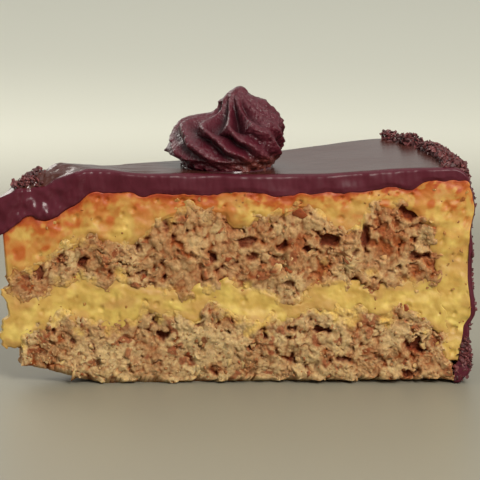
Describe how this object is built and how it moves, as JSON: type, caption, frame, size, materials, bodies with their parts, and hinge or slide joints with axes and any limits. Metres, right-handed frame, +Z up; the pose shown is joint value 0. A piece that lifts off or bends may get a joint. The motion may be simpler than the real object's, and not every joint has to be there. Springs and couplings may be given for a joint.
{
  "type": "walnut cake slice",
  "caption": "Wedge slice of a round walnut layer cake with custard cream, chocolate glaze over the top and outer wall, and a piped rosette.",
  "frame": {"origin": "on the surface the slice stands on, under the middle of its bounding box", "axes": "+X runs along the front cut from the tip to the outer wall, +Y from the front cut towards the back cut, +Z up"},
  "size_m": [0.121, 0.0596, 0.0758],
  "materials": {
    "walnut_sponge": "open coarse crumb, matt",
    "custard_cream": "smooth, moist, soft sheen",
    "chocolate_glaze": "poured, glossy",
    "piped_chocolate": "piped, satin"
  },
  "bodies": {
    "root": {"lower_sponge": "walnut_sponge", "cream_filling": "custard_cream", "upper_sponge": "walnut_sponge", "cream_coat": "custard_cream", "chocolate_glaze": "chocolate_glaze", "rosette": "piped_chocolate"}
  },
  "joints": []
}
